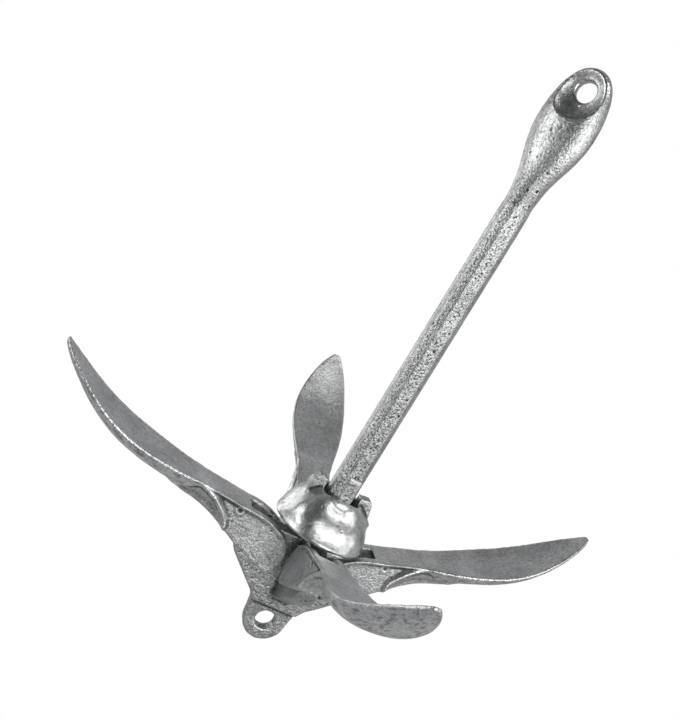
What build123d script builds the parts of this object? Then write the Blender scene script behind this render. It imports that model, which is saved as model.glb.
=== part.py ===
from build123d import *
import os

# Folding grapnel anchor: one shank casting with a crown, a sliding locking
# collar and four forked flukes, each on its own rivet. Millimetres, +Z up the
# shank, origin at the centre of the trip-line eye in the crown's tongue.

# ---------------------------------------------------------------- dimensions
EYE_TO_EYE = 295.0        # trip-line eye centre to rode eye centre
SHAFT_W = 13.4            # shaft, across flats
SHAFT_C = 3.4             # leg of each long chamfer of the shaft
EYE_R = 5.0               # both eyes
HEAD_TURN = -45.0         # the head faces between two flukes, turned about +Z
DISH = (12.0, 7.0, 13.6)  # half sizes of the dish round the rode eye
DISH_Y = 8.05             # its centre, off the middle of the head
DISH_DZ = -1.5            # its centre, under the eye

PIVOT_R = 23.5            # fluke pivot, distance from the shank axis
PIVOT_Z = 35.4            # left and right fluke pivots, height over the trip-line eye
PIVOT_Z2 = 38.0           # front and back fluke pivots, set a little higher
WING_T = 9.4              # thickness of the crown's wings
WING_R = 12.0             # wing end radius round the pivot
TONGUE_R = 11.0           # round end of the tongue
TONGUE_T = 6.0

CHEEK_IN = 5.2            # fork cheeks, inner and outer half widths
CHEEK_OUT = 9.5
CHEEK_R = 13.2            # fork end radius round the pivot
SLOT_END = 17.6           # closed end of the fork's slot
RIVET_R = 3.5
RIVET_GAP = 0.05          # radial running clearance in the wing
RIVET_PROUD = 0.25        # peened end, proud of the cheek

RIM_Z = 53.8              # collar rim, at rest on the flukes
RIM_R = 24.2
COLLAR_TOP = 74.6
CUP_R = 20.6              # hollow of the collar
CUP_TOP = 67.5
BORE_X = 9.6              # half sizes of the collar's oblong bore
BORE_Y = 8.3

REST = {"left": 22.6, "right": 35.2, "front": 28.0, "back": 33.3}
HEIGHT = {"left": PIVOT_Z, "right": PIVOT_Z, "front": PIVOT_Z2, "back": PIVOT_Z2}
AZIMUTH = {"left": 180, "right": 0, "front": 270, "back": 90}

os.makedirs("parts", exist_ok=True)


# --------------------------------------------------------------- shank casting
# the head at each height: half width and half depth of its oval section
head = [
    (232.0, 6.6, 6.6), (240.0, 7.2, 6.9), (246.0, 7.9, 7.0), (252.0, 9.3, 7.3), (258.0, 11.3, 7.8),
    (264.0, 13.2, 8.3), (270.0, 14.6, 8.7), (276.0, 15.2, 8.9), (282.0, 15.1, 8.8), (288.0, 14.4, 8.5),
    (294.0, 13.0, 7.8), (299.0, 11.0, 6.7), (302.5, 8.7, 5.4), (305.0, 5.8, 3.7), (306.4, 2.4, 1.6),
]


def rounded_oct(w, d, c):
    """closed octagon w wide, d deep, with legs c at its corners"""
    a, b = w / 2, d / 2
    return [(a, -b + c), (a, b - c), (a - c, b), (-a + c, b),
            (-a, b - c), (-a, -b + c), (-a + c, -b), (a - c, -b)]


head_x = Vector(1, 0, 0).rotate(Axis.Z, HEAD_TURN)
head_y = Vector(0, 1, 0).rotate(Axis.Z, HEAD_TURN)

with BuildPart() as casting:
    # octagonal shaft
    with BuildSketch(Plane.XY.offset(14.0)):
        with BuildLine():
            Polyline(*rounded_oct(SHAFT_W, SHAFT_W, SHAFT_C), close=True)
        make_face()
    extrude(amount=236.0 - 14.0)
    # egg-shaped head, flatter across its eye
    for z, w, d in head:
        with BuildSketch(Plane(origin=(0, 0, z), x_dir=head_x, z_dir=(0, 0, 1))):
            Ellipse(w, d)
    loft()
    # tongue and side wings, one plate in the XZ plane
    with BuildSketch(Plane.XZ.offset(-WING_T / 2)):
        with BuildLine():
            Polyline((-PIVOT_R, PIVOT_Z), (-PIVOT_R, PIVOT_Z + WING_R), 
                     (PIVOT_R, PIVOT_Z + WING_R),
                     (PIVOT_R, PIVOT_Z), (PIVOT_R + 7.8, PIVOT_Z - 9.1), (14.75, 11.8),
                     (12.4, 8.0), (-12.4, 8.0), (-14.75, 11.8), (-PIVOT_R - 7.8, PIVOT_Z - 9.1),
                     close=True)
        make_face()
        with Locations((PIVOT_R, PIVOT_Z), (-PIVOT_R, PIVOT_Z)):
            Circle(WING_R)
    extrude(amount=WING_T)
    with BuildSketch(Plane.XZ.offset(-TONGUE_T / 2)):
        with BuildLine():
            Polyline((-TONGUE_R, 0), (TONGUE_R, 0), (12.4, 9.0), (12.4, 14.0), (-12.4, 14.0), (-12.4, 9.0), close=True)
        make_face()
        Circle(TONGUE_R)
    extrude(amount=TONGUE_T)
    # front and back wings, one plate in the YZ plane
    with BuildSketch(Plane.YZ.offset(-WING_T / 2)):
        with BuildLine():
            Polyline((-PIVOT_R, PIVOT_Z2 + WING_R), (PIVOT_R, PIVOT_Z2 + WING_R),
                     (PIVOT_R + 7.3, PIVOT_Z2 - 9.5), (9.0, 15.5), (-9.0, 15.5),
                     (-PIVOT_R - 7.3, PIVOT_Z2 - 9.5), close=True)
        make_face()
        with Locations((PIVOT_R, PIVOT_Z2), (-PIVOT_R, PIVOT_Z2)):
            Circle(WING_R)
    extrude(amount=WING_T)
    # locking lugs on the front and back of the shaft, just over the collar
    with BuildSketch(Plane.XY.offset(58.0)):
        with Locations((1.2, -SHAFT_W / 2), (-1.2, SHAFT_W / 2)):
            Rectangle(7.6, 2.2)
    extrude(amount=86.5 - 58.0)
    # pivot bores
    with BuildSketch(Plane.XZ.offset(-WING_T)):
        with Locations((PIVOT_R, PIVOT_Z), (-PIVOT_R, PIVOT_Z)):
            Circle(RIVET_R + RIVET_GAP)
    extrude(amount=2 * WING_T, mode=Mode.SUBTRACT)
    with BuildSketch(Plane.YZ.offset(-WING_T)):
        with Locations((PIVOT_R, PIVOT_Z2), (-PIVOT_R, PIVOT_Z2)):
            Circle(RIVET_R + RIVET_GAP)
    extrude(amount=2 * WING_T, mode=Mode.SUBTRACT)
    # trip-line eye, along Y
    with BuildSketch(Plane.XZ):
        Circle(EYE_R)
    extrude(amount=20, both=True, mode=Mode.SUBTRACT)
    # rode eye, across the head
    with BuildSketch(Plane(origin=(0, 0, EYE_TO_EYE), x_dir=head_x, z_dir=-head_y)):
        Circle(EYE_R)
    extrude(amount=20, both=True, mode=Mode.SUBTRACT)
    # dished faces round the rode eye
    with BuildPart(mode=Mode.PRIVATE) as ball:
        Sphere(1.0)
    for side in (-1, 1):
        dish = scale(ball.part, by=DISH, mode=Mode.PRIVATE)
        spot = Location(head_y * (side * DISH_Y) + Vector(0, 0, EYE_TO_EYE + DISH_DZ), (0, 0, HEAD_TURN))
        add(dish.moved(spot), mode=Mode.SUBTRACT)

# the one casting is kept as two touching solids, so that each keeps a simple collision shape
SEAM_Z = 50.5
with BuildPart() as shank:
    add(casting.part)
    split(bisect_by=Plane.XY.offset(SEAM_Z), keep=Keep.TOP)
shank.part.label = "shank"
export_step(shank.part, "parts/shank.step")

with BuildPart() as crown:
    add(casting.part)
    split(bisect_by=Plane.XY.offset(SEAM_Z), keep=Keep.BOTTOM)
crown.part.label = "crown"
export_step(crown.part, "parts/crown.step")


# --------------------------------------------------------------- locking collar
with BuildPart() as collar:
    with BuildSketch(Plane.XZ):
        with BuildLine():
            s = Spline((RIM_R - 0.6, RIM_Z), (RIM_R + 0.5, RIM_Z + 3.6), (RIM_R - 0.3, RIM_Z + 8.4),
                       (RIM_R - 3.6, RIM_Z + 13.6), (RIM_R - 8.8, RIM_Z + 18.0), (12.0, COLLAR_TOP))
            Line(s @ 1, (0, COLLAR_TOP))
            Line((0, COLLAR_TOP), (0, RIM_Z))
            Line((0, RIM_Z), s @ 0)
        make_face()
    revolve(axis=Axis.Z)
    # locking ears on the left and right of the bore
    with BuildSketch(Plane.XZ.offset(-3.0)):
        with BuildLine():
            Polyline((8.0, 64.0), (8.0, 77.6), (15.0, 78.4), (16.6, 76.6), (19.0, 66.0), (23.2, 60.0), close=True)
        make_face()
        with BuildLine():
            Polyline((-8.0, 64.0), (-8.0, 78.6), (-13.6, 80.6), (-16.6, 76.6), (-19.6, 66.0), (-23.2, 60.0), close=True)
        make_face()
    extrude(amount=6.0)
    # hollow underside
    with BuildSketch(Plane.XZ):
        with BuildLine():
            s = Spline((CUP_R, RIM_Z - 1), (CUP_R - 0.3, RIM_Z + 5.0), (CUP_R - 3.4, CUP_TOP - 3.6), (12.0, CUP_TOP))
            Line(s @ 1, (0, CUP_TOP))
            Line((0, CUP_TOP), (0, RIM_Z - 1))
            Line((0, RIM_Z - 1), s @ 0)
        make_face()
    revolve(axis=Axis.Z, mode=Mode.SUBTRACT)
    # oblong bore
    with BuildSketch(Plane.XY.offset(RIM_Z)):
        RectangleRounded(2 * BORE_X, 2 * BORE_Y, 3.0)
    extrude(amount=40, mode=Mode.SUBTRACT)
collar.part.label = "collar"
export_step(collar.part, "parts/collar.step")


# ----------------------------------------------------------------------- fluke
# local frame: origin at the pivot, +X out along the blade to its tip, +Z to
# the inner face, Y across
top_edge = [(-2.0, 12.7), (6.0, 13.2), (12.0, 12.2), (20.0, 9.6), (30.0, 6.6), (40.0, 3.6), (48.0, 1.3)]
low_edge = [(-12.0, -6.4), (-2.0, -6.8), (8.0, -7.2), (20.0, -6.5), (30.0, -6.2), (38.0, -6.9), (46.0, -8.6)]
# blade stations: distance, half width, rim height, dish of the inner face,
# rim thickness, lowest point of the back
stations = [
    (44.0, 10.2, 2.4, 0.0, 2.4, -8.6),
    (52.0, 12.0, -0.1, 0.3, 2.2, -10.0),
    (62.0, 14.1, -2.6, 0.8, 2.0, -12.0),
    (74.0, 15.9, -5.1, 1.3, 1.8, -13.8),
    (86.0, 16.4, -6.6, 1.6, 1.8, -14.4),
    (98.0, 15.2, -6.7, 1.5, 1.7, -13.3),
    (109.0, 12.7, -5.4, 1.1, 1.6, -11.0),
    (119.0, 9.3, -3.4, 0.7, 1.5, -7.9),
    (127.0, 5.4, -1.4, 0.3, 1.4, -4.7),
    (132.0, 1.7, 0.2, 0.1, 0.9, -1.6),
]

with BuildPart() as fluke:
    # blade
    for s, w, rim, dish, edge, low in stations:
        with BuildSketch(Plane(origin=(s, 0, 0), x_dir=(0, 1, 0), z_dir=(1, 0, 0))):
            with BuildLine():
                d = (rim - edge) - low
                Spline((-w, rim), (-0.5 * w, rim - 0.75 * dish), (0, rim - dish), (0.5 * w, rim - 0.75 * dish), (w, rim))
                Line((w, rim), (w, rim - edge))
                Spline((w, rim - edge), (0.72 * w, rim - edge - 0.62 * d), (0, low), (-0.72 * w, rim - edge - 0.62 * d), (-w, rim - edge))
                Line((-w, rim - edge), (-w, rim))
            make_face()
    loft()
    # fork and web
    with BuildSketch(Plane.XZ.offset(-CHEEK_OUT)):
        with BuildLine():
            t = Spline(*top_edge)
            Line(t @ 1, (58.0, -3.4))
            Line((58.0, -3.4), (58.0, -9.0))
            Line((58.0, -9.0), low_edge[-1])
            u = Spline(*reversed(low_edge))
            Line(u @ 1, (-12.0, 0.0))
            Line((-12.0, 0.0), t @ 0)
        make_face()
        Circle(CHEEK_R)
        with BuildLine():
            v = Spline(*low_edge[:4])
            Line(v @ 1, (20.0, -20.0))
            Line((20.0, -20.0), (-14.0, -20.0))
            Line((-14.0, -20.0), (-14.0, -6.4))
            Line((-14.0, -6.4), v @ 0)
        make_face(mode=Mode.SUBTRACT)
        with BuildLine():
            CenterArc((0, 0), 30.0, 90.0, 180.0)
            Line((0, -30.0), (0, -CHEEK_R))
            CenterArc((0, 0), CHEEK_R, 90.0, 180.0)
            Line((0, CHEEK_R), (0, 30.0))
        make_face(mode=Mode.SUBTRACT)
    extrude(amount=2 * CHEEK_OUT)
    # raised crescents where the blade's back runs out on the web
    for off in (-CHEEK_OUT - 0.8, CHEEK_OUT):
        with BuildSketch(Plane.XZ.offset(off)):
            with BuildLine():
                a = Spline((50.0, -0.4), (40.3, 1.6), (33.0, 1.4), (27.0, -0.4), (21.3, -3.6), (18.2, -6.9))
                b = Spline((18.2, -6.9), (25.0, -4.6), (29.0, -2.8), (34.0, -2.0), (42.0, -3.6), (50.0, -6.2))
                Line(b @ 1, a @ 0)
            make_face()
        extrude(amount=0.8)
    # slot that straddles the crown's wing, open to the root
    with BuildSketch(Plane.XZ.offset(-CHEEK_IN)):
        with Locations(((SLOT_END - 40.0) / 2, 0)):
            Rectangle(SLOT_END + 40.0, 60.0)
    extrude(amount=2 * CHEEK_IN, mode=Mode.SUBTRACT)
    # channel under the web
    with BuildSketch(Plane.XZ.offset(-CHEEK_IN)):
        with BuildLine():
            Polyline((SLOT_END - 1, -20), (SLOT_END - 1, 3.6), (30.0, 0.8), (44.0, -4.6), (52.0, -20), close=True)
        make_face()
    extrude(amount=2 * CHEEK_IN, mode=Mode.SUBTRACT)
    # rivet hole
    with BuildSketch(Plane.XZ):
        Circle(RIVET_R)
    extrude(amount=20, both=True, mode=Mode.SUBTRACT)

with BuildPart() as rivet:
    with BuildSketch(Plane.XZ.offset(-CHEEK_OUT - RIVET_PROUD)):
        Circle(RIVET_R)
    extrude(amount=2 * (CHEEK_OUT + RIVET_PROUD))
    chamfer(rivet.edges().filter_by(GeomType.CIRCLE), 0.3)


def place(side):
    """from the fluke's own frame to its rest place on the crown"""
    return (Location((0, 0, 0), (0, 0, AZIMUTH[side])) * Location((PIVOT_R, 0, HEIGHT[side]))
            * Location((0, 0, 0), (0, -REST[side], 0)))


with BuildPart() as fluke_left:
    add(fluke.part.moved(place("left")))
fluke_left.part.label = "fluke_left"
export_step(fluke_left.part, "parts/fluke_left.step")

with BuildPart() as fluke_right:
    add(fluke.part.moved(place("right")))
fluke_right.part.label = "fluke_right"
export_step(fluke_right.part, "parts/fluke_right.step")

with BuildPart() as fluke_front:
    add(fluke.part.moved(place("front")))
fluke_front.part.label = "fluke_front"
export_step(fluke_front.part, "parts/fluke_front.step")

with BuildPart() as fluke_back:
    add(fluke.part.moved(place("back")))
fluke_back.part.label = "fluke_back"
export_step(fluke_back.part, "parts/fluke_back.step")

with BuildPart() as rivet_left:
    add(rivet.part.moved(place("left")))
rivet_left.part.label = "rivet_left"
export_step(rivet_left.part, "parts/rivet_left.step")

with BuildPart() as rivet_right:
    add(rivet.part.moved(place("right")))
rivet_right.part.label = "rivet_right"
export_step(rivet_right.part, "parts/rivet_right.step")

with BuildPart() as rivet_front:
    add(rivet.part.moved(place("front")))
rivet_front.part.label = "rivet_front"
export_step(rivet_front.part, "parts/rivet_front.step")

with BuildPart() as rivet_back:
    add(rivet.part.moved(place("back")))
rivet_back.part.label = "rivet_back"
export_step(rivet_back.part, "parts/rivet_back.step")
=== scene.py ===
"""Folding grapnel anchor in hot-dip galvanised cast iron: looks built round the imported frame."""

import math

import bpy
import numpy as np
from mathutils import Matrix, Vector


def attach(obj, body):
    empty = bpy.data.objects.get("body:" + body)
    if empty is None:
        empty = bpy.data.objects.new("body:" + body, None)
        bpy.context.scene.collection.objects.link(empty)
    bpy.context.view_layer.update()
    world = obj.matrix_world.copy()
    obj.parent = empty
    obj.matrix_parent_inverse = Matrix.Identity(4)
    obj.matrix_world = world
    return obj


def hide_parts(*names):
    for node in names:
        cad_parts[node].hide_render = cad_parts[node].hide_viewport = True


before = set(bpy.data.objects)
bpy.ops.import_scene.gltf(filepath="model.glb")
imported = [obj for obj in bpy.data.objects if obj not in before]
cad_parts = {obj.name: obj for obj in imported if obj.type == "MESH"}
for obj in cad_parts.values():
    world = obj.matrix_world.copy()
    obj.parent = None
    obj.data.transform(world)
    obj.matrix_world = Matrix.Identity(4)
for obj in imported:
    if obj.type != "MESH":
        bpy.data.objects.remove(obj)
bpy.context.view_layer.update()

# the frame's own dimensions, in millimetres, as the fluke poses need them
PIVOT_R = 23.5
REST = {"left": 22.6, "right": 35.2, "front": 28.0, "back": 33.3}
HEIGHT = {"left": 35.4, "right": 35.4, "front": 38.0, "back": 38.0}
AZIMUTH = {"left": 180, "right": 0, "front": 270, "back": 90}


# ------------------------------------------------------------------ numpy noise
def _hash(ix, iy, iz, seed):
    h = (ix * 374761393 + iy * 668265263 + iz * 1274126177 + seed * 974711) & 0xFFFFFFFF
    h = ((h ^ (h >> 13)) * 1274126177) & 0xFFFFFFFF
    h = ((h ^ (h >> 16)) * 2246822519) & 0xFFFFFFFF
    return ((h ^ (h >> 15)) & 0xFFFFFF) / float(0xFFFFFF)


def gnoise(p, seed=0):
    """gradient noise, about -1 to 1, at points p (n, 3) on a unit lattice"""
    i = np.floor(p).astype(np.int64)
    f = p - i
    u = f * f * f * (f * (f * 6 - 15) + 10)
    out = np.zeros(len(p))
    for dx in (0, 1):
        for dy in (0, 1):
            for dz in (0, 1):
                a, b, c = i[:, 0] + dx, i[:, 1] + dy, i[:, 2] + dz
                th = _hash(a, b, c, seed) * 2 * np.pi
                z = _hash(a, b, c, seed + 17) * 2 - 1
                r = np.sqrt(1 - z * z)
                g = r * np.cos(th) * (f[:, 0] - dx) + r * np.sin(th) * (f[:, 1] - dy) + z * (f[:, 2] - dz)
                w = (u[:, 0] if dx else 1 - u[:, 0]) * (u[:, 1] if dy else 1 - u[:, 1]) * (u[:, 2] if dz else 1 - u[:, 2])
                out += w * g
    return out * 1.5


def fbm(p, wl, octaves=3, seed=0, gain=0.55):
    """layers of gradient noise, the first with features about wl millimetres across"""
    out, amp, tot = np.zeros(len(p)), 1.0, 0.0
    q = p / wl
    for k in range(octaves):
        out += amp * gnoise(q + 13.7 * k, seed + 31 * k)
        tot += amp
        amp *= gain
        q = q * 1.97
        q = np.c_[q[:, 0] * 0.8 - q[:, 1] * 0.6, q[:, 0] * 0.6 + q[:, 1] * 0.8, q[:, 2]]
    return out / tot


def cells(p, size, seed=0):
    """distance to the nearest scattered point, in cell sizes"""
    q = p / size
    i = np.floor(q).astype(np.int64)
    best = np.full(len(p), 9.0)
    for dx in (-1, 0, 1):
        for dy in (-1, 0, 1):
            for dz in (-1, 0, 1):
                a, b, c = i[:, 0] + dx, i[:, 1] + dy, i[:, 2] + dz
                px = a + _hash(a, b, c, seed)
                py = b + _hash(a, b, c, seed + 5)
                pz = c + _hash(a, b, c, seed + 11)
                d = (px - q[:, 0]) ** 2 + (py - q[:, 1]) ** 2 + (pz - q[:, 2]) ** 2
                best = np.minimum(best, d)
    return np.sqrt(best)


def smooth(x, a, b):
    t = np.clip((x - a) / (b - a), 0, 1)
    return t * t * (3 - 2 * t)


# ----------------------------------------------------------------- mesh helpers
def whole_casting():
    """the shank and the crown as one mesh, without the two faces where they touch"""
    seam = max(v.co.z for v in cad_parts["crown"].data.vertices)
    points, faces = [], []
    for node in ("shank", "crown"):
        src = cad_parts[node].data
        first = len(points)
        points += [tuple(v.co) for v in src.vertices]
        for p in src.polygons:
            if any(abs(src.vertices[k].co.z - seam) > 2e-6 for k in p.vertices):
                faces.append([first + k for k in p.vertices])
    mesh = bpy.data.meshes.new("casting")
    mesh.from_pydata(points, [], faces)
    return mesh


def remeshed(node, voxel):
    """a closed even-grained copy of a CAD node's mesh: (vertices in mm, quads)"""
    if node == "shank":
        mesh = whole_casting()
    else:
        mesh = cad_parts[node].data.copy()
    tmp = bpy.data.objects.new("tmp_" + node, mesh)
    bpy.context.scene.collection.objects.link(tmp)
    weld = tmp.modifiers.new("w", "WELD")
    weld.merge_threshold = 1e-6
    m = tmp.modifiers.new("r", "REMESH")
    m.mode = "VOXEL"
    m.voxel_size = voxel / 1000.0
    m.adaptivity = 0.0
    dg = bpy.context.evaluated_depsgraph_get()
    ev = tmp.evaluated_get(dg)
    me = bpy.data.meshes.new_from_object(ev)
    co = np.zeros(len(me.vertices) * 3)
    me.vertices.foreach_get("co", co)
    n = len(me.polygons)
    loops = np.zeros(len(me.loops), np.int64)
    me.loops.foreach_get("vertex_index", loops)
    size = np.zeros(n, np.int64)
    me.polygons.foreach_get("loop_total", size)
    bpy.data.objects.remove(tmp)
    bpy.data.meshes.remove(me)
    assert (size == 4).all()
    return co.reshape(-1, 3) * 1000.0, loops.reshape(-1, 4)


def relax(v, quads, times, keep=0.0, weight=None):
    """Laplacian smoothing; keep pushes back, so the shape shrinks less"""
    e = np.concatenate([quads[:, [0, 1]], quads[:, [1, 2]], quads[:, [2, 3]], quads[:, [3, 0]]])
    e = np.concatenate([e, e[:, ::-1]])
    n = len(v)
    cnt = np.bincount(e[:, 0], minlength=n).astype(float)
    cnt[cnt == 0] = 1

    def lap(x):
        return np.stack([np.bincount(e[:, 0], x[e[:, 1], k], minlength=n) for k in range(3)], 1) / cnt[:, None] - x

    w = 1.0 if weight is None else weight[:, None]
    for _ in range(times):
        v = v + 0.5 * w * lap(v)
        if keep:
            v = v - keep * w * lap(v)
    return v


def normals(v, quads):
    a = v[quads[:, 2]] - v[quads[:, 0]]
    b = v[quads[:, 3]] - v[quads[:, 1]]
    fn = np.cross(a, b)
    n = np.zeros_like(v)
    for k in range(4):
        for c in range(3):
            n[:, c] += np.bincount(quads[:, k], fn[:, c], minlength=len(v))
    return n / (np.linalg.norm(n, axis=1)[:, None] + 1e-12)


def finish_piece(name, v, quads, attrs, material, body, replaced):
    me = bpy.data.meshes.new(name)
    me.vertices.add(len(v))
    me.vertices.foreach_set("co", (v / 1000.0).astype(np.float32).ravel())
    me.loops.add(len(quads) * 4)
    me.loops.foreach_set("vertex_index", quads.astype(np.int32).ravel())
    me.polygons.add(len(quads))
    me.polygons.foreach_set("loop_start", np.arange(0, len(quads) * 4, 4, dtype=np.int32))
    me.polygons.foreach_set("use_smooth", np.ones(len(quads), bool))
    me.update(calc_edges=True)
    me.validate()
    for k, x in attrs.items():
        at = me.attributes.new(k, "FLOAT", "POINT")
        at.data.foreach_set("value", x.astype(np.float32))
    me.materials.append(material)
    ob = bpy.data.objects.new(name, me)
    bpy.context.scene.collection.objects.link(ob)
    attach(ob, body)
    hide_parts(*replaced)
    return ob


def hollow_of(v, quads, fine):
    """0 to 1, how far a point lies in a valley against its smoothed surroundings"""
    s = relax(v, quads, fine)
    d = ((s - v) * normals(s, quads)).sum(1)
    return d


# -------------------------------------------------------------------- materials
def zinc(name, tone, rough, bump, grain, shade=0.55):
    m = bpy.data.materials.new(name)
    m.use_nodes = True
    nt = m.node_tree
    nt.nodes.clear()
    N, Lk = nt.nodes.new, nt.links.new
    out = N("ShaderNodeOutputMaterial")
    bs = N("ShaderNodeBsdfPrincipled")
    Lk(bs.outputs[0], out.inputs[0])
    tc = N("ShaderNodeTexCoord")
    co = tc.outputs["Object"]

    def noise(scale, detail=3.0, roughness=0.55):
        n = N("ShaderNodeTexNoise")
        n.inputs["Scale"].default_value = scale
        n.inputs["Detail"].default_value = detail
        n.inputs["Roughness"].default_value = roughness
        Lk(co, n.inputs["Vector"])
        return n.outputs["Fac"]

    def ramp(src, *stops):
        r = N("ShaderNodeValToRGB")
        el = r.color_ramp.elements
        while len(el) < len(stops):
            el.new(0.5)
        for e, (p, c) in zip(el, stops):
            e.position = p
            e.color = (c[0], c[1], c[2], 1) if isinstance(c, tuple) else (c, c, c, 1)
        Lk(src, r.inputs[0])
        return r.outputs[0]

    def math_(op, a, b, clamp=False):
        x = N("ShaderNodeMath")
        x.operation = op
        x.use_clamp = clamp
        for k, s in enumerate((a, b)):
            if s is None:
                continue
            if isinstance(s, (int, float)):
                x.inputs[k].default_value = s
            else:
                Lk(s, x.inputs[k])
        return x.outputs[0]

    def attr(nm):
        a = N("ShaderNodeAttribute")
        a.attribute_name = nm
        return a.outputs["Fac"]

    def mul(a, b, fac=1.0):
        x = N("ShaderNodeMix")
        x.data_type = "RGBA"
        x.blend_type = "MULTIPLY"
        if isinstance(fac, (int, float)):
            x.inputs[0].default_value = fac
        else:
            Lk(fac, x.inputs[0])
        Lk(a, x.inputs[6])
        Lk(b, x.inputs[7])
        return x.outputs[2]

    lo = tuple(c * 0.80 for c in tone)
    hi = tuple(min(1.0, c * 1.12) for c in tone)
    big = ramp(noise(70, 3), (0.32, lo), (0.68, hi))             # cloudy zinc, 10-15 mm
    mid = ramp(noise(480, 4, 0.6), (0.30, 0.68), (0.60, 1.0))    # mottling, 2 mm
    fine = ramp(noise(1300, 3, 0.6), (0.32, shade), (0.57, 1.0))  # grain shadow, under 1 mm
    col = mul(mul(big, mid), fine, 0.6)
    dark = ramp(attr("dirt_and_shade"), (0.0, 1.0), (1.0, 0.10))            # dirt and painted shade in the hollows and pits, and painted shade on the fluke blades' backs
    col = mul(col, dark)
    col = mul(col, ramp(attr("grain"), (0.3, 1.0), (0.9, 0.78)))  # rough skin holds more grime
    Lk(col, bs.inputs["Base Color"])
    bs.inputs["Metallic"].default_value = 0.96
    grainy = attr("grain")
    r1 = math_("MULTIPLY_ADD", noise(240, 4), 0.20)
    r1.node.inputs[2].default_value = rough - 0.10
    r2 = math_("MULTIPLY_ADD", attr("dirt_and_shade"), 0.30)
    Lk(r1, r2.node.inputs[2])
    r3 = math_("MULTIPLY_ADD", grainy, 0.05)
    Lk(r2, r3.node.inputs[2])
    Lk(r3, bs.inputs["Roughness"])
    # fine cast grain under the size of the modelled grain
    b1 = N("ShaderNodeBump")
    b1.inputs["Distance"].default_value = 0.00030
    s1 = math_("MULTIPLY_ADD", grainy, grain)
    s1.node.inputs[2].default_value = bump
    Lk(s1, b1.inputs["Strength"])
    Lk(noise(900, 3, 0.6), b1.inputs["Height"])
    b2 = N("ShaderNodeBump")
    b2.inputs["Distance"].default_value = 0.0002
    b2.inputs["Strength"].default_value = 0.25
    vo = N("ShaderNodeTexVoronoi")
    vo.inputs["Scale"].default_value = 420
    Lk(co, vo.inputs["Vector"])
    Lk(vo.outputs["Distance"], b2.inputs["Height"])
    Lk(b1.outputs[0], b2.inputs["Normal"])
    Lk(b2.outputs[0], bs.inputs["Normal"])
    return m


ZINC_SHANK = zinc("zinc_rough", (0.70, 0.71, 0.71), 0.31, 0.42, 0.8, 0.25)
ZINC_COLLAR = zinc("zinc_smooth", (0.70, 0.71, 0.71), 0.31, 0.20, 0.7)
ZINC_FLUKE = zinc("zinc_satin", (0.80, 0.81, 0.815), 0.31, 0.55, 0.8, 0.35)


# ------------------------------------------------------------------------ shank
def build_shank():
    v, q = remeshed("shank", 0.42)
    r = np.hypot(v[:, 0], v[:, 1])
    z = v[:, 2]
    th = np.degrees(np.arctan2(v[:, 1], v[:, 0])) % 360
    shaft = smooth(z, 50, 56) * (1 - smooth(z, 236, 250))
    # the shaft's top is drawn in to meet the head without a step
    v = relax(v, q, 10, 0.0)
    w = np.exp(-(((z - 237) / 7.0) ** 2))
    v = relax(v, q, 40, 0.0, w)
    # softened long edges
    v = relax(v, q, 8, 0.0, shaft)
    n = normals(v, q)
    front = np.maximum(np.cos(np.radians(th - 248)), 0) ** 0.5
    back = np.maximum(np.cos(np.radians(th - 68)), 0) ** 0.5
    rough = smooth(np.maximum(front, back), 0.62, 0.86)
    grain = 0.30 + 0.70 * rough
    head = smooth(z, 245, 262)
    grain = grain * (1 - head) + head * 0.55
    # the dish is smoother
    eye = np.c_[v[:, 0], v[:, 1], v[:, 2] - 293.5]
    along = (eye[:, 0] + eye[:, 1]) / math.sqrt(2)
    flat = np.sqrt(np.maximum((eye ** 2).sum(1) - along ** 2, 0))
    dish = (1 - smooth(flat, 11.0, 13.5)) * head
    grain = grain * (1 - 0.8 * dish)
    crown = 1 - smooth(z, 50, 58)
    grain = grain * (1 - crown) + 0.8 * crown
    peb = 1 - cells(v, 1.2, 3)
    peb2 = fbm(v, 0.95, 2, 5)
    wave = fbm(v, 6.0, 2, 9)
    amp = grain
    v = v + n * (amp * (0.17 * (peb - 0.45) + 0.11 * peb2) + 0.10 * wave)[:, None]
    # scattered small pits
    pits = cells(v, 7.0, 21)
    v = v - n * (0.30 * (1 - smooth(pits, 0.06, 0.13)))[:, None]
    # dirt and painted shade: the hollows darken, more where the skin is rough
    d = hollow_of(v, q, 8)
    dirt_and_shade = np.clip(d / 0.05, 0, 1) * (0.35 + 0.65 * amp)
    return finish_piece("shank_casting", v, q, {"dirt_and_shade": dirt_and_shade, "grain": amp}, ZINC_SHANK, "shank", ("shank", "crown"))


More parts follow.
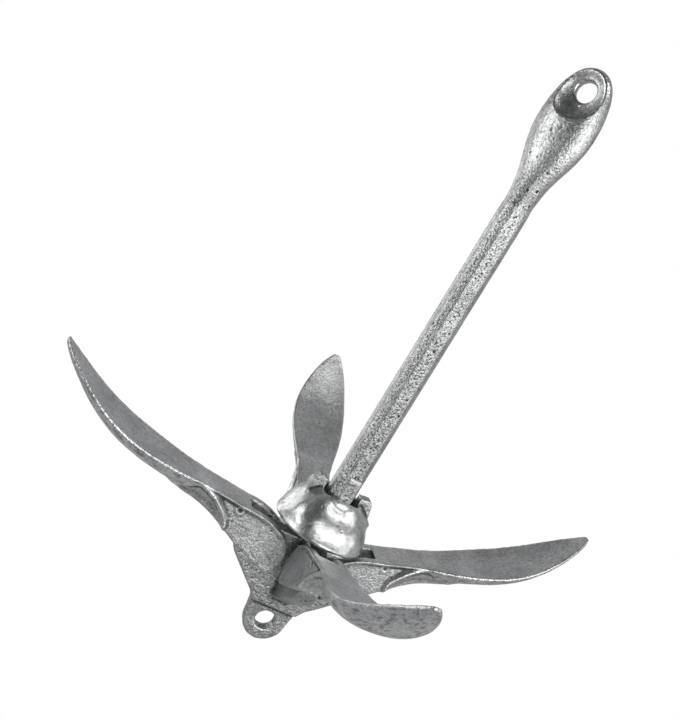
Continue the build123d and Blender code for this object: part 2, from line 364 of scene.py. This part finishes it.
# ----------------------------------------------------------------------- collar
def build_collar():
    v, q = remeshed("collar", 0.42)
    ex = np.abs(v[:, 0])
    right = v[:, 0] > 0
    floor_z = np.where(right, 63.0, 69.5)
    edge_x = np.where(right, 20.5, 17.0)
    earzone = smooth(v[:, 2] - floor_z, 0, 2) * (1 - smooth(ex - edge_x, 0, 2)) * (1 - smooth(np.abs(v[:, 1]), 3.4, 5.0)) * smooth(ex, 8.5, 10.5)
    soft = 1 - 0.85 * earzone
    v = relax(v, q, 8, 0.0, soft)
    r = np.hypot(v[:, 0], v[:, 1])
    nn = normals(v, q)
    outward = (nn[:, 0] * v[:, 0] + nn[:, 1] * v[:, 1]) / (r + 1e-9)
    dome = smooth(r, 12.0, 14.5) * smooth(np.maximum(outward, nn[:, 2]), 0.05, 0.35) * smooth(v[:, 2], 54.5, 57.5)
    fin = (1 - smooth(np.abs(v[:, 1]), 5.0, 7.0)) * smooth(np.abs(v[:, 0]), 13.5, 15.5) * smooth(v[:, 2], 56.5, 58.5) * smooth(outward, -0.35, -0.1)
    dome = np.maximum(dome, fin) * (1 - earzone)
    v = relax(v, q, 130, 0.0, dome)
    r = np.hypot(v[:, 0], v[:, 1])
    th = np.arctan2(v[:, 1], v[:, 0])
    z = v[:, 2]
    # four lobes between the flukes, with a valley over each fluke: a lobed ellipsoid about the rim's centre
    c4 = -np.cos(4 * th)
    rise = v[:, 2] - 53.5
    d = np.sqrt((r / 24.1) ** 2 + (rise / 23.6) ** 2) + 1e-9
    goal = (1 + 0.045 * c4 * smooth(rise, 1.0, 8.0) - 0.02) / d
    k = 1 + dome * (np.clip(goal, 0.86, 1.14) - 1)
    v[:, 0] *= k
    v[:, 1] *= k
    v[:, 2] = 53.5 + rise * k
    v = relax(v, q, 40, 0.0, dome)
    ridge_out = (1 - smooth(np.abs(v[:, 1]), 6.0, 10.0)) * smooth(np.abs(v[:, 0]), 12.5, 15.5) * dome
    v = relax(v, q, 160, 0.0, ridge_out)
    r = np.hypot(v[:, 0], v[:, 1])
    z = v[:, 2]
    ear = earzone
    n = normals(v, q)
    grain = 0.12 + 0.75 * ear
    dents = fbm(v, 7.0, 2, 3)
    peb = 1 - cells(v, 1.5, 8)
    v = v + n * (0.16 * dents + grain * (0.13 * (peb - 0.45) + 0.07 * fbm(v, 1.0, 2, 4)))[:, None]
    pits = cells(v, 2.6, 22)
    pit = (1 - smooth(pits, 0.10, 0.22)) * smooth(gnoise(v / 7.0, 4), 0.12, 0.35)
    v = v - n * (0.22 * pit)[:, None]
    # dirt and painted shade: the hollows and the pits darken
    d = hollow_of(v, q, 8)
    dirt_and_shade = np.clip(d / 0.07, 0, 1) * (0.25 + 0.75 * grain)
    dirt_and_shade = np.maximum(dirt_and_shade, pit * 0.8)
    return finish_piece("collar_dome", v, q, {"dirt_and_shade": dirt_and_shade, "grain": grain}, ZINC_COLLAR, "collar", ("collar",))


# ----------------------------------------------------------------------- flukes
def local_matrix(side):
    """fluke frame to row frame, millimetres"""
    return (Matrix.Rotation(math.radians(AZIMUTH[side]), 4, "Z") @ Matrix.Translation((PIVOT_R, 0, HEIGHT[side]))
            @ Matrix.Rotation(math.radians(-REST[side]), 4, "Y"))


RIDGE = np.array([(52, -0.8), (47, 1.2), (43.3, 1.9), (38.8, 2.1), (34.1, 1.7), (29.6, 0.5), (25.6, -0.7), (22.4, -2.2), (20.8, -4.0),
                  (19.6, -7.2)], float)
# upper border of the low panel, outboard of and under the ridge: along the fluke, height
LOW = np.array([(19.0, -8.5), (19.8, -6.5), (21.0, -4.2), (22.4, -2.6), (25.6, -1.2), (29.6, 0.0), (34.1, 1.2), (38.8, 1.6), (43.3, 1.0),
                (45.0, -0.6), (46.8, -2.9), (50.5, -6.1), (54.0, -8.8)], float)
TOP = np.array([(-14, 12.7), (-2, 12.7), (6, 13.2), (12, 12.2), (20, 9.6), (30, 6.6), (40, 3.6), (48, 1.3), (54, -0.4)], float)


def to_curve(s, h, line):
    """distance to a line of points and how far along it, 0 to 1"""
    best, where = np.full(len(s), 1e9), np.zeros(len(s))
    k = len(line) - 1
    for i in range(k):
        a, b = line[i], line[i + 1]
        d = b - a
        u = np.clip(((s - a[0]) * d[0] + (h - a[1]) * d[1]) / (d @ d), 0, 1)
        x = np.hypot(s - a[0] - u * d[0], h - a[1] - u * d[1])
        m = x < best
        best[m], where[m] = x[m], (i + u[m]) / k
    return best, where


def build_fluke(side):
    v, q = remeshed("fluke_" + side, 0.5)
    M = np.array(local_matrix(side))
    R, T = M[:3, :3], M[:3, 3]
    p = (v - T) @ R
    p = relax(p, q, 6, 0.0)
    s, t, h = p[:, 0].copy(), p[:, 1].copy(), p[:, 2].copy()
    at = np.abs(t)
    sg = np.sign(t)
    top = np.interp(s, TOP[:, 0], TOP[:, 1])
    under = smooth(top - h, 1.2, 2.2)            # 1 under the flange's lip
    outer = smooth(at, 6.0, 8.6)
    span = smooth(s, 2, 14) * (1 - smooth(s, 42, 47))
    border = np.interp(s, LOW[:, 0], LOW[:, 1])
    dr, ur = to_curve(s, h, RIDGE)
    ridge = np.exp(-((dr / np.interp(ur, [0, 0.25, 0.6, 1.0], [1.9, 1.2, 0.9, 0.7])) ** 2)) * (1 - smooth(s, 44, 51))
    high = smooth(h - border, 0.6, 2.0) * under * span * outer
    deep = np.interp(s, [0, 10, 20, 30, 37, 42], [0.0, 0.35, 0.75, 1.35, 2.0, 1.4])
    low = smooth(border - h, 0.2, 1.3) * smooth(s, 19, 22) * (1 - smooth(s, 50, 56)) * outer
    sink = np.interp(s, [19, 26, 36, 46, 54], [0.3, 0.7, 1.3, 1.5, 0.4]) + 0.16 * np.clip(border - h, 0, 9)
    pull = high * deep * (1 - ridge) + low * sink * (1 - ridge) - 0.15 * ridge * outer
    t = t - sg * pull
    # the flange's thin lip stands over the cheek
    lip = np.exp(-(((top - h - 0.5) / 0.75) ** 2)) * smooth(at, 8.6, 9.4) * smooth(s, -8, 0) * (1 - smooth(s, 46, 52))
    t = t + sg * 0.5 * lip
    p = np.c_[s, t, h]
    p = relax(p, q, 3, 0.0)
    n = normals(p, q)
    s, t, h = p[:, 0], p[:, 1], p[:, 2]
    blade = smooth(s, 42, 54)
    inner = smooth(n[:, 2], 0.3, 0.7)
    side_face = smooth(np.abs(n[:, 1]), 0.55, 0.85) * (1 - blade)
    grain = 0.30 + 0.60 * side_face * (1 - 0.85 * np.exp(-((dr / 1.2) ** 2)))
    grain = grain * (1 - blade) + blade * (0.46 + 0.10 * inner)
    flange = (1 - side_face) * (1 - blade)
    grain = np.where(flange > 0.5, np.minimum(grain, 0.30), grain)
    seed = {"left": 0, "right": 40, "front": 80, "back": 120}[side]
    peb = 1 - cells(p, 1.1, 3 + seed)
    wave = fbm(p, 9.0, 2, 9 + seed)
    amp = grain
    p = p + n * (amp * (0.14 * (peb - 0.45) + 0.09 * fbm(p, 1.0, 2, 5 + seed)) + 0.12 * wave)[:, None]
    # round cast dot on each cheek
    dd = np.hypot(p[:, 0] - 21.5, p[:, 2] - 5.6)
    dot = (np.exp(-(((dd - 1.7) / 0.6) ** 2)) - 0.5 * np.exp(-((dd / 0.9) ** 2))) * side_face
    p = p + n * (0.32 * dot)[:, None]
    pits = cells(p, 6.0, 22 + seed)
    back = smooth(-n[:, 2], 0.1, 0.6) * blade
    pit = (1 - smooth(pits, 0.06, 0.13)) * smooth(gnoise(p / 11.0, 4 + seed), 0.0, 0.1)
    p = p - n * (0.25 * pit)[:, None]
    # dirt and painted shade: the hollows and the pits darken
    d = hollow_of(p, q, 7)
    dirt_and_shade = np.clip(d / 0.14, 0, 1) * (0.3 + 0.7 * amp)
    # painted shade on the blade's downward-facing back, broken into streaks
    streak = fbm(np.c_[p[:, 0] / 6.0, p[:, 1], p[:, 2]], 1.5, 3, 60 + seed)
    shaded_back = smooth(-n[:, 2], -0.15, 0.25) * smooth(p[:, 0], 38, 50)
    dirt_and_shade = np.maximum(dirt_and_shade, 0.6 * pit)
    dirt_and_shade = np.clip(dirt_and_shade + 0.55 * shaded_back * smooth(streak, 0.02, 0.30), 0, 1)
    v = p @ R.T + T
    return finish_piece("fluke_%s_blade" % side, v, q, {"dirt_and_shade": dirt_and_shade, "grain": amp}, ZINC_FLUKE,
                        "fluke_" + side, ("fluke_" + side,))


def build_rivet(side):
    """a pin whose ends are peened nearly flush, drawn as rings of points"""
    half = [(r, 9.60 - 0.30 * max(0.0, (r - 3.6) / 1.6) ** 2) for r in np.arange(0.0, 5.3, 0.45)] + [(3.45, 8.9), (3.45, 6.0), (3.45, 2.0)]
    prof = [(r, -y) for r, y in half] + [(r, y) for r, y in half[::-1]]
    k = 64
    v, q = [], []
    for r, y in prof[1:-1]:
        for a in range(k):
            an = 2 * math.pi * a / k
            v.append((r * math.cos(an), y, r * math.sin(an)))
    m = len(prof) - 2
    for i in range(m - 1):
        for a in range(k):
            b = (a + 1) % k
            q.append((i * k + a, (i + 1) * k + a, (i + 1) * k + b, i * k + b))
    # round caps as quads: an inner ring shrunk to a small square grid
    for i, y, flip in ((0, prof[0][1], False), (m - 1, prof[-1][1], True)):
        base = i * k
        c = len(v)
        v.append((0.0, y, 0.0))
        for a in range(0, k, 2):
            f = (base + a, base + a + 1, base + (a + 2) % k, c)
            q.append(f if not flip else f[::-1])
    v, q = np.array(v, float), np.array(q)
    M = np.array(local_matrix(side))
    n = normals(v, q)
    end = smooth(np.abs(v[:, 1]), 8.95, 9.2)
    peb = 1 - cells(v, 1.1, 7)
    v = v + n * (end * (0.12 * (peb - 0.45) + 0.08 * fbm(v, 1.0, 2, 7)))[:, None]
    v = v @ M[:3, :3].T + M[:3, 3]
    one = np.ones(len(v))
    return finish_piece("rivet_%s_pin" % side, v, q, {"dirt_and_shade": one * 0.08, "grain": one * 0.85}, ZINC_FLUKE,
                        "fluke_" + side, ("rivet_" + side,))


build_shank()
build_collar()
for side_ in ("left", "right", "front", "back"):
    build_fluke(side_)
    build_rivet(side_)

# ------------------------------------------------------------ floor, light, view
sc = bpy.context.scene


def plain(name, colour, glow):
    m = bpy.data.materials.new(name)
    m.use_nodes = True
    b = m.node_tree.nodes["Principled BSDF"]
    b.inputs["Base Color"].default_value = (colour, colour, colour, 1)
    b.inputs["Roughness"].default_value = 1.0
    b.inputs["Specular IOR Level"].default_value = 0.0
    b.inputs["Emission Color"].default_value = (1, 1, 1, 1)
    b.inputs["Emission Strength"].default_value = glow
    return m


def only_seen(ob):
    """shown to the camera, but neither mirrored in the metal nor lighting it"""
    ob.visible_glossy = ob.visible_diffuse = ob.visible_transmission = ob.visible_shadow = False


S = 12.0
floor_me = bpy.data.meshes.new("floor")
floor_me.from_pydata([(-S, -S, -0.45), (S, -S, -0.45), (S, S, -0.45), (-S, S, -0.45)], [], [(0, 1, 2, 3)])
floor = bpy.data.objects.new("floor", floor_me)
sc.collection.objects.link(floor)
floor_me.materials.append(plain("floor_white", 0.0, 1.0))
only_seen(floor)

wall_me = bpy.data.meshes.new("backdrop")
K = 48
ring = [(S * math.cos(2 * math.pi * i / K), S * math.sin(2 * math.pi * i / K)) for i in range(K)]
wall_me.from_pydata([(x, y, -3.0) for x, y in ring] + [(x, y, 14.0) for x, y in ring],
                    [], [(i, (i + 1) % K, K + (i + 1) % K, K + i) for i in range(K)] + [tuple(range(K, 2 * K)), tuple(range(K))])
wall = bpy.data.objects.new("backdrop", wall_me)
sc.collection.objects.link(wall)
wall_me.materials.append(plain("backdrop_white", 0.0, 1.0))
only_seen(wall)

w = bpy.data.worlds.new("studio")
sc.world = w
w.use_nodes = True
nt = w.node_tree
nt.nodes.clear()
wo = nt.nodes.new("ShaderNodeOutputWorld")
bg = nt.nodes.new("ShaderNodeBackground")
tcw = nt.nodes.new("ShaderNodeTexCoord")
dot = nt.nodes.new("ShaderNodeVectorMath")
dot.operation = "DOT_PRODUCT"
dot.inputs[1].default_value = (-0.46, -0.60, 0.65)
cr = nt.nodes.new("ShaderNodeValToRGB")
half = nt.nodes.new("ShaderNodeMath")
half.operation = "MULTIPLY_ADD"
half.inputs[1].default_value = 0.5
half.inputs[2].default_value = 0.5
nt.links.new(tcw.outputs["Generated"], dot.inputs[0])
nt.links.new(dot.outputs["Value"], half.inputs[0])
nt.links.new(half.outputs[0], cr.inputs[0])
el = cr.color_ramp.elements
el[0].position, el[0].color = 0.0, (0.46, 0.465, 0.47, 1)
el[1].position, el[1].color = 1.0, (0.05, 0.051, 0.052, 1)
for pos, val in ((0.35, 0.42), (0.60, 0.33), (0.78, 0.22), (0.90, 0.09)):
    e = el.new(pos)
    e.color = (val, val * 1.01, val * 1.02, 1)
nt.links.new(cr.outputs[0], bg.inputs["Color"])
bg.inputs["Strength"].default_value = 1.0
nt.links.new(bg.outputs[0], wo.inputs[0])


def softbox(name, pos, look, size, power):
    li = bpy.data.lights.new(name, "AREA")
    li.shape = "RECTANGLE"
    li.size, li.size_y = size
    li.energy = power
    ob = bpy.data.objects.new(name, li)
    sc.collection.objects.link(ob)
    ob.location = pos
    ob.rotation_mode = "QUATERNION"
    ob.rotation_quaternion = (Vector(look) - Vector(pos)).to_track_quat("-Z", "Y")
    return ob


C = (0.0, 0.0, 0.12)


def lit_from(name, direction, away, size, power):
    d = Vector(direction).normalized()
    return softbox(name, Vector(C) + away * d, C, size, power)


lit_from("front", (0.20, -0.96, 0.17), 1.5, (1.1, 1.0), 13.5)
lit_from("top_right", (0.36, -0.34, 0.87), 1.6, (0.5, 0.5), 3.8)
lit_from("top_left", (-0.98, 0.06, 0.14), 1.6, (0.8, 0.9), 8.0)
lit_from("dish_left", (-0.93, -0.33, -0.14), 1.6, (0.6, 0.6), 3.4)
lit_from("side_right", (0.80, -0.56, 0.10), 1.7, (0.5, 1.0), 3.2)
lit_from("side_left", (-0.52, 0.84, -0.05), 1.7, (0.5, 1.0), 3.0)

sc.view_settings.view_transform = "Standard"
sc.view_settings.look = "None"
sc.view_settings.exposure = 0.0

cam = bpy.data.cameras.new("camera")
cam_ob = bpy.data.objects.new("camera", cam)
sc.collection.objects.link(cam_ob)
sc.camera = cam_ob
cam.sensor_fit = "AUTO"
cam.sensor_width = 36.0
cam.lens = 45.4
cam.shift_x = -0.0685
cam.shift_y = -0.0107
cam.clip_start, cam.clip_end = 0.02, 200.0
X = Vector((0.83416, -0.1974, 0.51499))
Y = -Vector((0.45608, -0.27814, -0.84536))
Z = -Vector((0.31012, 0.94004, -0.14198))
rot = Matrix((X, Y, Z)).transposed()
cam_ob.rotation_mode = "QUATERNION"
cam_ob.rotation_quaternion = rot.to_quaternion()
cam_ob.location = (-0.1487, -0.4016, 0.2080)
